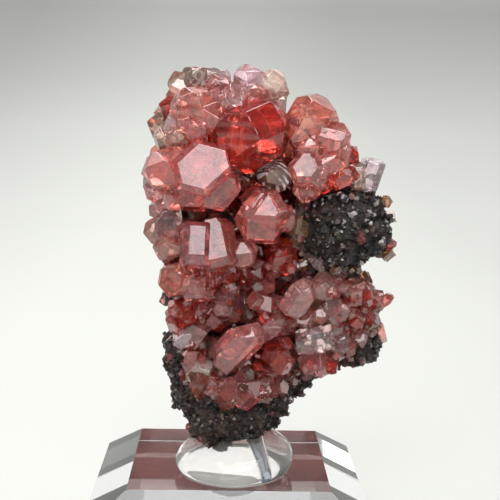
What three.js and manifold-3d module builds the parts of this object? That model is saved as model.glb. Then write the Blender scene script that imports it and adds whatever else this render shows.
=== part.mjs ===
// A rhodochrosite specimen: rose-red crystals on dark manganese rock, stood in a clear gel pad
// on a bevelled clear acrylic block with dark red felt under it. Millimetres, +Z up, the crystals
// face -Y. The origin is the centre of the felt's underside.
import * as THREE from "three";
import { ConvexGeometry } from "three/addons/geometries/ConvexGeometry.js";
import { mergeVertices } from "three/addons/utils/BufferGeometryUtils.js";
import Module from "manifold-3d";

const wasm = await Module();
wasm.setup();

// ---- Driving dimensions ----------------------------------------------------------------------

const GAP = 0.3; // between neighbouring pieces

const STAND_HEIGHT = 12.7; // felt and block together
const FELT_THICKNESS = 0.8;
const BLOCK_SIDE = 31.75;
const BEVEL_RUN = 4.7;
const BEVEL_DROP = 3.5;

const PAD_RADIUS = 6.9;
const PAD_HEIGHT = 4.8;
const PAD_CENTRE = [0.5, -5];
const PAD_SIDES = 17;
const PAD_FRONT_DROP = 0.4; // how far the squeezed gel sinks at the front, as a share of its height
const PAD_RIGHT_RISE = 0.25; // and how far it stands up on the right
const ROCK_CLEARANCE = 1.06; // the gel's hollow, as a share of the rock lumps that stand in it
// The tapered air channel in the pad, from under the rock down to a mouth in the pad's front edge.
const CHANNEL_TOP = [2.9, -4.6, 15.9];
const CHANNEL_MOUTH = [4.3, -11.6, 13.6];
const CHANNEL_TOP_RADIUS = 0.95;
const CHANNEL_MOUTH_RADIUS = 0.55;
const CHANNEL_SIDES = 8;

const LUMP_DETAIL = 2; // subdivisions of each large rock lump
const LUMP_ROUGHNESS = 0.1; // how far its surface is pushed in and out, as a share of its radius

// ---- Crystal forms ---------------------------------------------------------------------------

// Rhodochrosite is trigonal. A form is the list of its face normals, with the c axis along +Z.
const AXIAL_RATIO = 3.28;
const rhombTilt = (order) => Math.atan((2 / Math.sqrt(3)) * (AXIAL_RATIO / order));

function normal(tilt, azimuth) {
  const flat = Math.sin(tilt);
  return new THREE.Vector3(flat * Math.cos(azimuth), flat * Math.sin(azimuth), Math.cos(tilt));
}

function rhombohedron(order, turn) {
  const tilt = rhombTilt(order);
  const faces = [];
  for (let i = 0; i < 3; i++) {
    const azimuth = turn + (i * 2 * Math.PI) / 3;
    faces.push(normal(tilt, azimuth), normal(Math.PI - tilt, azimuth + Math.PI / 3));
  }
  return faces;
}

function prism() {
  return Array.from({ length: 6 }, (_, i) => normal(Math.PI / 2, (i * Math.PI) / 3));
}

const END_FACES = [new THREE.Vector3(0, 0, 1), new THREE.Vector3(0, 0, -1)];
const MAIN_RHOMB = rhombohedron(4, 0);
const STEEP_RHOMB = rhombohedron(2, Math.PI / 3);
const PRISM = prism();

// A habit is a list of forms, each with its faces' distance from the centre for a size of 1.
const HABITS = {
  capped: [[END_FACES, 0.62], [MAIN_RHOMB, 1.0], [STEEP_RHOMB, 0.95], [PRISM, 1.0]],
  block: [[END_FACES, 1.1], [MAIN_RHOMB, 0.9], [PRISM, 1.05]],
  round: [[END_FACES, 0.96], [MAIN_RHOMB, 0.94], [STEEP_RHOMB, 0.96], [PRISM, 0.98]],
  column: [[END_FACES, 1.0], [MAIN_RHOMB, 1.05], [STEEP_RHOMB, 0.95], [PRISM, 0.62]],
  stout: [[END_FACES, 0.95], [MAIN_RHOMB, 1.0], [STEEP_RHOMB, 0.93], [PRISM, 0.92]],
  rhomb: [[END_FACES, 1.3], [MAIN_RHOMB, 0.85]],
};
const FACE_JITTER = 0.14; // how unevenly the faces of one crystal have grown

// A repeatable number from 0 to 1.
function scatter(seed) {
  const wave = Math.sin(seed * 12.9898) * 43758.5453;
  return wave - Math.floor(wave);
}

// ---- Solids ----------------------------------------------------------------------------------

function solidOf(geometry) {
  const bare = new THREE.BufferGeometry();
  bare.setAttribute("position", geometry.getAttribute("position").clone());
  if (geometry.index) bare.setIndex(geometry.index.clone());
  const merged = mergeVertices(bare, 1e-4);
  return new wasm.Manifold(
    new wasm.Mesh({
      numProp: 3,
      vertProperties: new Float32Array(merged.attributes.position.array),
      triVerts: new Uint32Array(merged.index.array),
    }),
  );
}

function geometryOf(solid) {
  const mesh = solid.getMesh();
  const geometry = new THREE.BufferGeometry();
  geometry.setAttribute("position", new THREE.BufferAttribute(mesh.vertProperties, 3));
  geometry.setIndex(new THREE.BufferAttribute(mesh.triVerts, 1));
  const flat = geometry.toNonIndexed();
  flat.computeVertexNormals();
  return flat;
}

const joined = (solids) => solids.reduce((sum, solid) => sum.add(solid));

// The corners of the convex body inside all the planes, each plane a normal and a distance.
function cornersOf(planes) {
  const corners = [];
  const point = new THREE.Vector3();
  const rows = new THREE.Matrix3();
  for (let i = 0; i < planes.length; i++)
    for (let j = i + 1; j < planes.length; j++)
      for (let k = j + 1; k < planes.length; k++) {
        const [a, b, c] = [planes[i], planes[j], planes[k]];
        rows.set(...a.normal, ...b.normal, ...c.normal);
        if (Math.abs(rows.determinant()) < 1e-4) continue;
        point.set(a.distance, b.distance, c.distance).applyMatrix3(rows.invert());
        const inside = planes.every((p) => p.normal.dot(point) <= p.distance + 1e-6);
        const known = corners.some((corner) => corner.distanceTo(point) < 0.1);
        if (inside && !known) corners.push(point.clone());
      }
  return corners;
}

// One crystal. axis is where its c axis points, spin turns it about that axis in degrees, long
// stretches it along the axis, and grow moves every face out.
function crystalSolid({ habit, size, at, axis, spin = 0, long = 1 }, grow = 0) {
  const seed = at[0] * 3.1 + at[1] * 5.3 + at[2] * 7.7;
  const planes = HABITS[habit].flatMap(([form, share]) => form.map((n) => ({ normal: n, share })));
  planes.forEach((plane, i) => {
    const uneven = 1 + FACE_JITTER * (scatter(seed + i) - 0.5) * 2;
    const stretch = 1 + (long - 1) * Math.abs(plane.normal.z);
    plane.distance = size * plane.share * uneven * stretch + grow;
  });
  const up = new THREE.Vector3(0, 0, 1);
  const turn = new THREE.Quaternion().setFromUnitVectors(up, new THREE.Vector3(...axis).normalize());
  turn.multiply(new THREE.Quaternion().setFromAxisAngle(up, THREE.MathUtils.degToRad(spin)));
  const place = new THREE.Vector3(...at);
  return solidOf(new ConvexGeometry(cornersOf(planes).map((p) => p.applyQuaternion(turn).add(place))));
}

// A rounded lump of broken rock: an ellipsoid with its surface pushed in and out.
function lumpSolid({ at, radii, detail = LUMP_DETAIL }) {
  const geometry = new THREE.IcosahedronGeometry(1, detail);
  const position = geometry.getAttribute("position");
  const point = new THREE.Vector3();
  for (let i = 0; i < position.count; i++) {
    point.fromBufferAttribute(position, i);
    const wave =
      Math.sin(3.1 * point.x + 1.7 * at[2]) +
      Math.sin(4.3 * point.y + 2.1 * at[0]) +
      Math.sin(5.2 * point.z + 1.3 * at[1] + 2 * point.x);
    point.multiplyScalar(1 + (LUMP_ROUGHNESS * wave) / 3);
    position.setXYZ(i, at[0] + radii[0] * point.x, at[1] + radii[1] * point.y, at[2] + radii[2] * point.z);
  }
  return solidOf(geometry);
}

// ---- The specimen ----------------------------------------------------------------------------

const ROCK_LUMPS = [
  { at: [0.1, -2.2, 21.4], radii: [6.7, 6, 5] }, // foot
  { at: [-1.4, -5, 18.6], radii: [3.4, 2.9, 2.8], detail: 1 }, // left toe
  { at: [2.1, -4.6, 19.2], radii: [2.9, 2.9, 2.6], detail: 1 }, // right toe
  { at: [-4.4, -2, 25.2], radii: [2.6, 3, 3.8], detail: 1 }, // lower left edge
  { at: [15.2, -0.8, 26.8], radii: [1.7, 2, 1.5], detail: 1 }, // lower right spur
  { at: [-1.4, 1.8, 30], radii: [6.2, 4.6, 11] }, // lower back
  { at: [-2, 1.4, 40.2], radii: [6, 4.8, 8.8] }, // upper back
  { at: [12, -1, 40.6], radii: [6.1, 5.6, 4.9] }, // dark knob on the right
  { at: [10.5, 0.8, 30.5], radii: [6.4, 4.4, 7] }, // right wing
  { at: [5.4, 1.2, 25], radii: [5, 4.2, 5.2] }, // under the wing
  { at: [6, 2.6, 41.5], radii: [5.6, 3.4, 7.6] }, // bridge to the knob
];

const CRYSTALS = {
  upper_left_crystals: [
    { habit: "capped", size: 3, at: [-3.4, -7.1, 47.3], axis: [-0.06, -0.93, 0.36], spin: 12 },
    { habit: "round", size: 2.4, at: [-1.9, -5.9, 45.3], axis: [0.5, -0.8, -0.1], spin: 50 },
    { habit: "round", size: 2, at: [-4.6, -6, 44.7], axis: [-0.2, -0.8, -0.4], spin: 15 },
    { habit: "round", size: 2.4, at: [-7.4, -5.6, 46.9], axis: [-0.45, -0.75, 0.45], spin: 25 },
    { habit: "stout", size: 3.85, at: [1.3, -4.8, 51.4], axis: [0.76, -0.38, 0.53], spin: 5, long: 1.1 },
    { habit: "round", size: 2.4, at: [-4.7, -4.9, 53.8], axis: [-0.25, -0.75, 0.6], spin: 40 },
    { habit: "block", size: 1.7, at: [-7.1, -3.2, 53.2], axis: [-0.3, -0.5, 0.8], spin: 15 },
    { habit: "block", size: 1.7, at: [-2.6, -5.4, 52.9], axis: [0.15, -0.8, 0.5], spin: 5 },
    { habit: "column", size: 2.2, at: [-1, -4.6, 54.4], axis: [0.6, -0.45, 0.5], spin: 20 },
    { habit: "block", size: 1.5, at: [-4.4, -1.6, 57], axis: [-0.1, -0.5, 0.8], spin: 75 },
    { habit: "block", size: 1.5, at: [-2.8, -1.4, 57], axis: [0.2, -0.4, 0.9], spin: 20 },
    { habit: "capped", size: 1.8, at: [-1.8, -2.8, 55.9], axis: [0.25, 0.55, 0.75], spin: 30 },
    { habit: "round", size: 1.9, at: [1.5, -1.4, 57], axis: [0.05, -0.45, 0.88], spin: 45 },
    { habit: "block", size: 1.7, at: [4.1, -2.2, 56.4], axis: [0.45, -0.35, 0.8], spin: 15 },
    { habit: "block", size: 1.5, at: [0.2, -3.4, 55.3], axis: [0.3, -0.7, 0.5], spin: 55 },
    { habit: "block", size: 1.5, at: [-8.6, -4.4, 44.6], axis: [-0.6, -0.7, -0.1], spin: 35 },
    { habit: "block", size: 3, at: [-2.5, 1.9, 53.8], axis: [-0.2, 0.7, 0.6], spin: 10 },
    { habit: "block", size: 2.7, at: [2.6, 1.8, 54.4], axis: [0.4, 0.6, 0.6], spin: 30 },
    { habit: "block", size: 2.3, at: [-6.2, 1.4, 53.2], axis: [-0.6, 0.5, 0.5], spin: 20 },
    { habit: "block", size: 2.2, at: [-7.2, -1, 48.6], axis: [-0.9, -0.1, 0.2], spin: 20 },
    { habit: "block", size: 1.6, at: [4.4, 2, 50.9], axis: [0.2, 0.6, 0.8], spin: 20 },
    { habit: "block", size: 2.2, at: [-3.4, -2.2, 50.2], axis: [-0.2, -0.7, 0.6], spin: 50 },
  ],
  upper_right_crystals: [
    { habit: "stout", size: 2.8, at: [8.3, -3, 52.3], axis: [0.42, -0.42, 0.8], spin: 30, long: 1.1 },
    { habit: "column", size: 2.9, at: [10.6, -4, 49.6], axis: [0.1, -0.4, 0.9], spin: 12 },
    { habit: "round", size: 2.1, at: [8.3, -5.6, 47.3], axis: [-0.2, -0.88, 0.38], spin: 15 },
    { habit: "column", size: 2.6, at: [6.8, -1, 49.4], axis: [0.12, -0.3, 0.94], spin: 5 },
    { habit: "block", size: 2.4, at: [9, 0.8, 50.2], axis: [0.5, 0.7, 0.5], spin: 25 },
    { habit: "column", size: 1.9, at: [15.3, -1.6, 46.6], axis: [0.25, -0.2, 0.9], spin: 10 },
    { habit: "block", size: 1.5, at: [13.9, -2.6, 46.6], axis: [-0.1, -0.4, 0.9], spin: 30 },
    { habit: "block", size: 1.8, at: [11.8, -0.6, 47.6], axis: [0.2, 0.3, 0.9], spin: 45 },
  ],
  striped_crystal: [
    { habit: "block", size: 1.7, at: [4.5, -3.9, 46.5], axis: [0.25, -0.6, 0.75], spin: 35 },
  ],
  centre_crystal: [
    { habit: "round", size: 2.8, at: [3.3, -6.4, 42.3], axis: [-0.04, -0.93, 0.34], spin: 25 },
    { habit: "block", size: 1.5, at: [2.2, -4.6, 44.1], axis: [-0.2, -0.6, 0.7], spin: 10 },
  ],
  blade_crystals: [
    { habit: "column", size: 2.7, at: [-4.1, -6.3, 38.9], axis: [0.03, 0.32, 0.95], spin: 30 },
    { habit: "column", size: 2.9, at: [-1.8, -5.7, 39], axis: [-0.22, 0.34, 0.92], spin: 24 },
    { habit: "block", size: 1.55, at: [1.1, -5.6, 38], axis: [-0.1, -0.93, 0.34], spin: 33 },
    { habit: "capped", size: 1.9, at: [-3.1, -4.6, 35], axis: [0.1, -0.8, 0.1], spin: 5 },
    { habit: "block", size: 1.5, at: [-0.6, -4.2, 36], axis: [0.3, -0.8, 0.1], spin: 25 },
    { habit: "capped", size: 2, at: [-6.1, -4.6, 34.9], axis: [-0.5, -0.8, 0.1], spin: 20 },
    { habit: "block", size: 1.6, at: [-4, -5, 33.9], axis: [0.1, -0.8, -0.3], spin: 40 },
  ],
  left_edge_crystals: [
    { habit: "column", size: 1.9, at: [-7.2, -4.2, 40.8], axis: [0.05, 0.1, 1], spin: 20 },
  ],
  lower_left_crystals: [
    { habit: "block", size: 1.5, at: [-5.2, -4, 31], axis: [-0.4, -0.8, 0.1], spin: 45 },
    { habit: "round", size: 1.8, at: [-0.6, -3.6, 32], axis: [0.2, -0.9, 0.3], spin: 5 },
    { habit: "block", size: 1.4, at: [-2.6, -4, 31], axis: [0.1, -0.9, 0.2], spin: 25 },
    { habit: "rhomb", size: 1.5, at: [-3.9, -4.6, 29.2], axis: [-0.5, -0.5, 0.6], spin: 5 },
    { habit: "block", size: 1.4, at: [-4, -4.7, 26.4], axis: [0.2, -0.8, 0.3], spin: 35 },
    { habit: "block", size: 1.5, at: [-3.4, -5.2, 24.5], axis: [-0.3, -0.8, 0.4], spin: 35 },
    { habit: "block", size: 1.5, at: [-2, -5.8, 22.8], axis: [0.1, -0.9, 0.4], spin: 15 },
  ],
  lower_red_crystal: [
    { habit: "round", size: 1.9, at: [0.7, -6.6, 27.6], axis: [0.6, -0.4, 0.74], spin: 85, long: 1.9 },
  ],
  hollow_crystals: [
    { habit: "block", size: 1.9, at: [2.6, -2.2, 35.2], axis: [0.2, -0.9, 0.1], spin: 10 },
    { habit: "block", size: 1.9, at: [5.6, -3, 37.4], axis: [0.4, -0.8, 0.2], spin: 30 },
    { habit: "round", size: 1.8, at: [3.3, -2.8, 32.2], axis: [-0.2, -0.9, 0.2], spin: 20 },
    { habit: "block", size: 1.7, at: [4.9, -3.8, 29.9], axis: [0.3, -0.8, 0.4], spin: 50 },
    { habit: "block", size: 1.8, at: [5, -4.2, 26.4], axis: [0.2, -0.9, 0.2], spin: 0 },
    { habit: "block", size: 1.8, at: [3.2, -4.6, 24], axis: [0, -0.9, 0.2], spin: 70 },
  ],
  right_wing_crystals: [
    { habit: "stout", size: 1.7, at: [7.4, -5.4, 33.2], axis: [0.45, -0.25, 0.86], spin: 100, long: 1.4 },
    { habit: "column", size: 2.2, at: [9.5, -5.4, 28.3], axis: [0.95, -0.25, 0.2], spin: 30 },
    { habit: "block", size: 1.5, at: [11.5, -4.6, 31.6], axis: [0.3, -0.8, 0.3], spin: 65 },
    { habit: "block", size: 1.6, at: [9.4, -4.2, 25.8], axis: [0.2, -0.9, -0.2], spin: 45 },
    { habit: "block", size: 1.5, at: [12.2, -3.6, 27.4], axis: [0.4, -0.8, 0.1], spin: 25 },
    { habit: "block", size: 1.5, at: [14, -3, 30.4], axis: [0.6, -0.7, 0.2], spin: 5 },
    { habit: "block", size: 1.5, at: [13.4, -3.6, 33.6], axis: [0.5, -0.7, 0.3], spin: 15 },
    { habit: "block", size: 1.5, at: [10.2, -4.2, 34.2], axis: [0.1, -0.8, 0.4], spin: 30 },
    { habit: "block", size: 1.4, at: [8.6, -4.8, 30.8], axis: [0.1, -0.8, 0.4], spin: 70 },
    { habit: "block", size: 1.6, at: [15.9, -1.8, 32.4], axis: [0.95, 0.05, 0], spin: 30 },
  ],
};

// ---- The stand -------------------------------------------------------------------------------

function blockGeometry() {
  const outer = BLOCK_SIDE / 2;
  const inner = outer - BEVEL_RUN;
  const levels = [[FELT_THICKNESS + GAP, outer], [STAND_HEIGHT - BEVEL_DROP, outer], [STAND_HEIGHT, inner]];
  const corners = levels.flatMap(([z, half]) =>
    [[-1, -1], [1, -1], [1, 1], [-1, 1]].map(([x, y]) => new THREE.Vector3(x * half, y * half, z)),
  );
  return new ConvexGeometry(corners);
}

function feltGeometry() {
  const sheet = new THREE.BoxGeometry(BLOCK_SIDE, BLOCK_SIDE, FELT_THICKNESS);
  sheet.translate(0, 0, FELT_THICKNESS / 2);
  return sheet;
}

// The pad's rounded outline, from its underside on the block up to its flat top.
function padSolid() {
  const outline = new THREE.Path();
  const foot = PAD_RADIUS - 0.8;
  const top = PAD_RADIUS - 2;
  outline.moveTo(0, 0).lineTo(foot, 0);
  outline.bezierCurveTo(PAD_RADIUS + 0.2, 0.3, PAD_RADIUS + 0.2, 3.6, top, PAD_HEIGHT - 0.1);
  outline.lineTo(0, PAD_HEIGHT);
  const profile = new THREE.LatheGeometry(outline.getPoints(5), PAD_SIDES);
  profile.rotateX(Math.PI / 2);
  const position = profile.getAttribute("position");
  for (let i = 0; i < position.count; i++) {
    const front = (PAD_FRONT_DROP * (position.getY(i) / PAD_RADIUS - 1)) / 2;
    const right = (PAD_RIGHT_RISE * (position.getX(i) / PAD_RADIUS - 1)) / 2;
    position.setZ(i, position.getZ(i) * (1 + front + right));
  }
  profile.translate(PAD_CENTRE[0], PAD_CENTRE[1], STAND_HEIGHT + GAP);
  return solidOf(profile);
}

function channelSolid() {
  const [top, mouth] = [new THREE.Vector3(...CHANNEL_TOP), new THREE.Vector3(...CHANNEL_MOUTH)];
  const along = top.clone().sub(mouth);
  const radii = [CHANNEL_TOP_RADIUS, CHANNEL_MOUTH_RADIUS];
  const taper = new THREE.CylinderGeometry(...radii, along.length(), CHANNEL_SIDES);
  const up = new THREE.Vector3(0, 1, 0);
  taper.applyQuaternion(new THREE.Quaternion().setFromUnitVectors(up, along.normalize()));
  taper.translate(...top.add(mouth).multiplyScalar(0.5));
  return solidOf(taper);
}

// ---- Assembly --------------------------------------------------------------------------------

const CLEAR = { color: 0xe8eef2, roughness: 0.03, metalness: 0, transparent: true, opacity: 0.4 };
const MATERIALS = {
  acrylic: new THREE.MeshStandardMaterial(CLEAR),
  gel: new THREE.MeshStandardMaterial({ ...CLEAR, roughness: 0.08 }),
  rock: new THREE.MeshStandardMaterial({ color: 0x2b2725, roughness: 0.85, metalness: 0.05 }),
  felt: new THREE.MeshStandardMaterial({ color: 0x5e1f1f, roughness: 0.95, metalness: 0 }),
  crystal: new THREE.MeshStandardMaterial({ color: 0xb8433c, roughness: 0.12, metalness: 0 }),
};

const specimen = new THREE.Group();

function addPiece(name, geometry, material) {
  const mesh = new THREE.Mesh(geometry, material);
  mesh.name = name;
  specimen.add(mesh);
}

// Each group of crystals is one solid, cut back from the groups before it.
let sockets = null;
for (const [name, rows] of Object.entries(CRYSTALS)) {
  let solid = joined(rows.map((row) => crystalSolid(row)));
  if (sockets) solid = solid.subtract(sockets);
  const grown = joined(rows.map((row) => crystalSolid(row, GAP)));
  sockets = sockets ? sockets.add(grown) : grown;
  addPiece(name, geometryOf(solid), MATERIALS.crystal);
}

const rock = joined(ROCK_LUMPS.map(lumpSolid)).subtract(sockets);
addPiece("matrix_rock", geometryOf(rock), MATERIALS.rock);

const standing = ROCK_LUMPS.slice(0, 3);
const hollows = standing.map((lump) => ({ ...lump, radii: lump.radii.map((r) => r * ROCK_CLEARANCE) }));
const pad = padSolid().subtract(joined(hollows.map(lumpSolid))).subtract(channelSolid());
addPiece("gel_pad", geometryOf(pad), MATERIALS.gel);
addPiece("acrylic_block", blockGeometry(), MATERIALS.acrylic);
addPiece("base_felt", feltGeometry(), MATERIALS.felt);

export default specimen;
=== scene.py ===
"""The looks of the rhodochrosite specimen: glossy rose-red crystals and granular black rock,
in a clear gel pad on a clear acrylic block. Shapes are made in millimetres and scaled to metres."""
import math
import random

import bmesh
import bpy
import numpy as np
from mathutils import Matrix, Quaternion, Vector, noise


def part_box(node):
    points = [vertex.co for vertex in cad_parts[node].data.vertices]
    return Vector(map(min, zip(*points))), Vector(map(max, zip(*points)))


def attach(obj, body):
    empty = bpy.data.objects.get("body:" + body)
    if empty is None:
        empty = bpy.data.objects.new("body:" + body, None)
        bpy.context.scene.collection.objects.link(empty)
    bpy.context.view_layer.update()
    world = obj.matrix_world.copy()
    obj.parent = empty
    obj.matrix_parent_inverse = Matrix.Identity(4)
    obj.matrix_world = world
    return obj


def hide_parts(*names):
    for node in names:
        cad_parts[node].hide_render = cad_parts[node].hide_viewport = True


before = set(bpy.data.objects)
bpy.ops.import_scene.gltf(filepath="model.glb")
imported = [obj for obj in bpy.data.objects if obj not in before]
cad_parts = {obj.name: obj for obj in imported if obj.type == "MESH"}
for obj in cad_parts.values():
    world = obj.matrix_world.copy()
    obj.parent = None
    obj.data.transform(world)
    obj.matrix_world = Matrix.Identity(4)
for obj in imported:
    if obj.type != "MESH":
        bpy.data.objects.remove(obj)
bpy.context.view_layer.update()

MM = 0.001
scene = bpy.context.scene


# ---- Small helpers -----------------------------------------------------------------------------

def node_box(name):
    """The lowest and highest corners of a CAD node, in millimetres."""
    low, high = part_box(name)
    return Vector(low) / MM, Vector(high) / MM


def scatter_value(seed):
    """A repeatable number from 0 to 1, the same as the CAD crystals use."""
    wave = math.sin(seed * 12.9898) * 43758.5453
    return wave - math.floor(wave)


def link(name, data):
    """A new object in the scene with this mesh, light or camera."""
    made = bpy.data.objects.new(name, data)
    scene.collection.objects.link(made)
    return made


def mesh_object(name, bm):
    """A new object from a bmesh, which is used up."""
    mesh = bpy.data.meshes.new(name)
    bm.to_mesh(mesh)
    bm.free()
    return link(name, mesh)


def baked(source, name):
    """A new object with the source's modifiers applied, in place of it."""
    bpy.context.view_layer.update()
    graph = bpy.context.evaluated_depsgraph_get()
    mesh = bpy.data.meshes.new_from_object(source.evaluated_get(graph))
    old = source.data
    bpy.data.objects.remove(source)
    if old.users == 0:
        bpy.data.meshes.remove(old)
    mesh.name = name
    return link(name, mesh)


def combined(first, others, name, operation):
    """The first closed part with all the others joined to it or cut from it."""
    operands = bpy.data.collections.new("operands")
    scene.collection.children.link(operands)
    for part in others:
        scene.collection.objects.unlink(part)
        operands.objects.link(part)
    combine = first.modifiers.new("combine", "BOOLEAN")
    combine.operation = operation
    combine.solver = "MANIFOLD"
    combine.operand_type = "COLLECTION"
    combine.collection = operands
    made = baked(first, name)
    for part in others:
        bpy.data.objects.remove(part)
    bpy.data.collections.remove(operands)
    return made


def united(name, parts):
    return combined(parts[0], parts[1:], name, "UNION")


def paint(piece, colour):
    """Gives every face of the piece one tone, which its material reads."""
    layer = piece.data.attributes.new("tone", "FLOAT_COLOR", "FACE")
    layer.data.foreach_set("color", [*colour, 1.0] * len(piece.data.polygons))


def finish_piece(piece, nodes=()):
    """Scales a piece made in millimetres to metres and hangs it on the model."""
    piece.data.transform(Matrix.Scale(MM, 4))
    piece.data.update()
    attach(piece, "root")
    if nodes:
        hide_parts(*nodes)
    return piece


# ---- Materials ---------------------------------------------------------------------------------

class Shader:
    """A Principled material with a few short ways to add procedural detail."""

    def __init__(self, name):
        self.material = bpy.data.materials.new(name)
        self.material.use_nodes = True
        self.tree = self.material.node_tree
        self.surface = self.tree.nodes["Principled BSDF"]
        self.coords = self.tree.nodes.new("ShaderNodeTexCoord").outputs["Object"]

    def set(self, **values):
        for key, value in values.items():
            self.surface.inputs[key.replace("_", " ")].default_value = value
        return self

    def noise(self, scale, detail=4.0, rough=0.55, distortion=0.0):
        made = self.tree.nodes.new("ShaderNodeTexNoise")
        made.inputs["Scale"].default_value = scale
        made.inputs["Detail"].default_value = detail
        made.inputs["Roughness"].default_value = rough
        made.inputs["Distortion"].default_value = distortion
        self.tree.links.new(self.coords, made.inputs["Vector"])
        return made.outputs["Fac"]

    def cells(self, scale, feature="F1"):
        made = self.tree.nodes.new("ShaderNodeTexVoronoi")
        made.feature = feature
        made.inputs["Scale"].default_value = scale
        self.tree.links.new(self.coords, made.inputs["Vector"])
        return made.outputs["Distance"]

    def bands(self, scale, distortion, direction):
        made = self.tree.nodes.new("ShaderNodeTexWave")
        made.bands_direction = direction
        made.inputs["Scale"].default_value = scale
        made.inputs["Distortion"].default_value = distortion
        made.inputs["Detail"].default_value = 2.0
        self.tree.links.new(self.coords, made.inputs["Vector"])
        return made.outputs["Fac"]

    def along(self, axis):
        """How far a point lies along an axis, in metres."""
        made = self.tree.nodes.new("ShaderNodeSeparateXYZ")
        self.tree.links.new(self.coords, made.inputs["Vector"])
        return made.outputs[axis]

    def ramp(self, value, *stops):
        """A value turned into colours or greys, from (place, colour) stops."""
        made = self.tree.nodes.new("ShaderNodeValToRGB")
        elements = made.color_ramp.elements
        while len(elements) < len(stops):
            elements.new(0.5)
        for element, (place, colour) in zip(elements, stops):
            element.position = place
            element.color = (*colour, 1) if isinstance(colour, tuple) else (*[colour] * 3, 1)
        self.tree.links.new(value, made.inputs["Fac"])
        return made.outputs["Color"]

    def attribute(self, name):
        made = self.tree.nodes.new("ShaderNodeAttribute")
        made.attribute_name = name
        return made.outputs["Color"]

    def mix(self, factor, first, second, blend="MIX"):
        made = self.tree.nodes.new("ShaderNodeMix")
        made.data_type = "RGBA"
        made.blend_type = blend
        factor_in, first_in, second_in = made.inputs[0], made.inputs[6], made.inputs[7]
        for socket, value in ((factor_in, factor), (first_in, first), (second_in, second)):
            if isinstance(value, bpy.types.NodeSocket):
                self.tree.links.new(value, socket)
            elif isinstance(value, tuple):
                socket.default_value = (*value, 1)
            else:
                socket.default_value = value
        return made.outputs[2]

    def math(self, operation, first, second):
        made = self.tree.nodes.new("ShaderNodeMath")
        made.operation = operation
        for socket, value in zip(made.inputs, (first, second)):
            if isinstance(value, bpy.types.NodeSocket):
                self.tree.links.new(value, socket)
            else:
                socket.default_value = value
        return made.outputs[0]

    def bump(self, height, strength, distance):
        """Adds relief to any that is there already."""
        made = self.tree.nodes.new("ShaderNodeBump")
        made.inputs["Strength"].default_value = strength
        made.inputs["Distance"].default_value = distance
        self.tree.links.new(height, made.inputs["Height"])
        previous = self.surface.inputs["Normal"]
        if previous.is_linked:
            self.tree.links.new(previous.links[0].from_socket, made.inputs["Normal"])
        self.tree.links.new(made.outputs["Normal"], previous)
        return self

    def link(self, value, socket):
        self.tree.links.new(value, self.surface.inputs[socket])
        return self

    def absorb(self, colour, density):
        """What the inside takes from light on its way through."""
        made = self.tree.nodes.new("ShaderNodeVolumeAbsorption")
        made.inputs["Color"].default_value = (*colour, 1)
        made.inputs["Density"].default_value = density
        output = next(n for n in self.tree.nodes if n.type == "OUTPUT_MATERIAL")
        self.tree.links.new(made.outputs["Volume"], output.inputs["Volume"])
        return self


# The colour that light takes from each tone of crystal, before the depth of it adds its own.
TONES = {
    "salmon": (1.0, 0.385, 0.325),
    "red": (0.76, 0.075, 0.048),
    "pink": (1.0, 0.56, 0.52),
    "pale": (1.0, 0.74, 0.73),
    "mauve": (0.84, 0.33, 0.315),
    "rose": (0.97, 0.28, 0.25),
    "smoky": (0.66, 0.52, 0.45),
    "amber": (0.66, 0.34, 0.17),
    "clear": (1.0, 0.80, 0.79),
    "brown": (0.50, 0.16, 0.10),
}


def crystal_material(name, clear, depth_colour, depth):
    """Crystal whose tone is a colour on each face, clouded by fine veils and thin fractures."""
    shader = Shader(name)
    shader.set(Transmission_Weight=clear, IOR=1.72, Specular_IOR_Level=0.5)
    shader.set(Coat_Weight=0.1, Coat_Roughness=0.02, Coat_IOR=1.8)
    tone = shader.attribute("tone")
    veils = shader.noise(520, detail=6, rough=0.65, distortion=1.2)
    deep = shader.mix(1.0, tone, (0.62, 0.42, 0.40), "MULTIPLY")
    milky = shader.mix(0.35, tone, (0.98, 0.86, 0.84))
    body = shader.mix(shader.ramp(veils, (0.34, 0.0), (0.52, 1.0)), deep, tone)
    body = shader.mix(shader.ramp(veils, (0.60, 0.0), (0.76, 1.0)), body, milky)
    cracks = shader.ramp(shader.cells(430, "DISTANCE_TO_EDGE"), (0.0, 0.32), (0.03, 0.0))
    shader.link(shader.mix(cracks, body, (1.0, 0.86, 0.83)), "Base Color")
    worn = shader.noise(700, detail=3)
    shader.link(shader.ramp(worn, (0.35, 0.0), (0.75, 0.08)), "Roughness")
    shader.bump(shader.noise(1500, detail=2), 0.10, 0.0002)
    shader.bump(shader.bands(260, 2.5, "Z"), 0.07, 0.0002)
    shader.absorb(depth_colour, depth)
    return shader.material


CRYSTAL = crystal_material("rhodochrosite", 0.83, (0.985, 0.62, 0.57), 100)
CLEAR_CRYSTAL = crystal_material("clear_rhodochrosite", 0.92, (0.98, 0.80, 0.77), 80)
PALE_CRYSTAL = crystal_material("pale_rhodochrosite", 0.72, (0.995, 0.85, 0.83), 40)


def striped_material():
    """A dark striated crystal: bright narrow stripes across a brown-black body."""
    shader = Shader("striped_crystal")
    lines = shader.ramp(shader.bands(640, 2.2, "DIAGONAL"), (0.55, 0.0), (0.72, 1.0))
    struck = shader.ramp(shader.noise(420, detail=3), (0.38, 0.0), (0.50, 1.0))
    stripes = shader.math("MULTIPLY", lines, struck)
    mottle = shader.noise(700, detail=4)
    shade = shader.ramp(mottle, (0.35, (0.05, 0.022, 0.016)), (0.70, (0.22, 0.10, 0.065)))
    shader.link(shader.mix(stripes, shade, (0.62, 0.55, 0.56)), "Base Color")
    shader.link(shader.ramp(shader.noise(900), (0.3, 0.12), (0.7, 0.35)), "Roughness")
    shader.set(Specular_IOR_Level=0.8)
    shader.bump(stripes, 0.5, 0.0001)
    return shader.material


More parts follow.
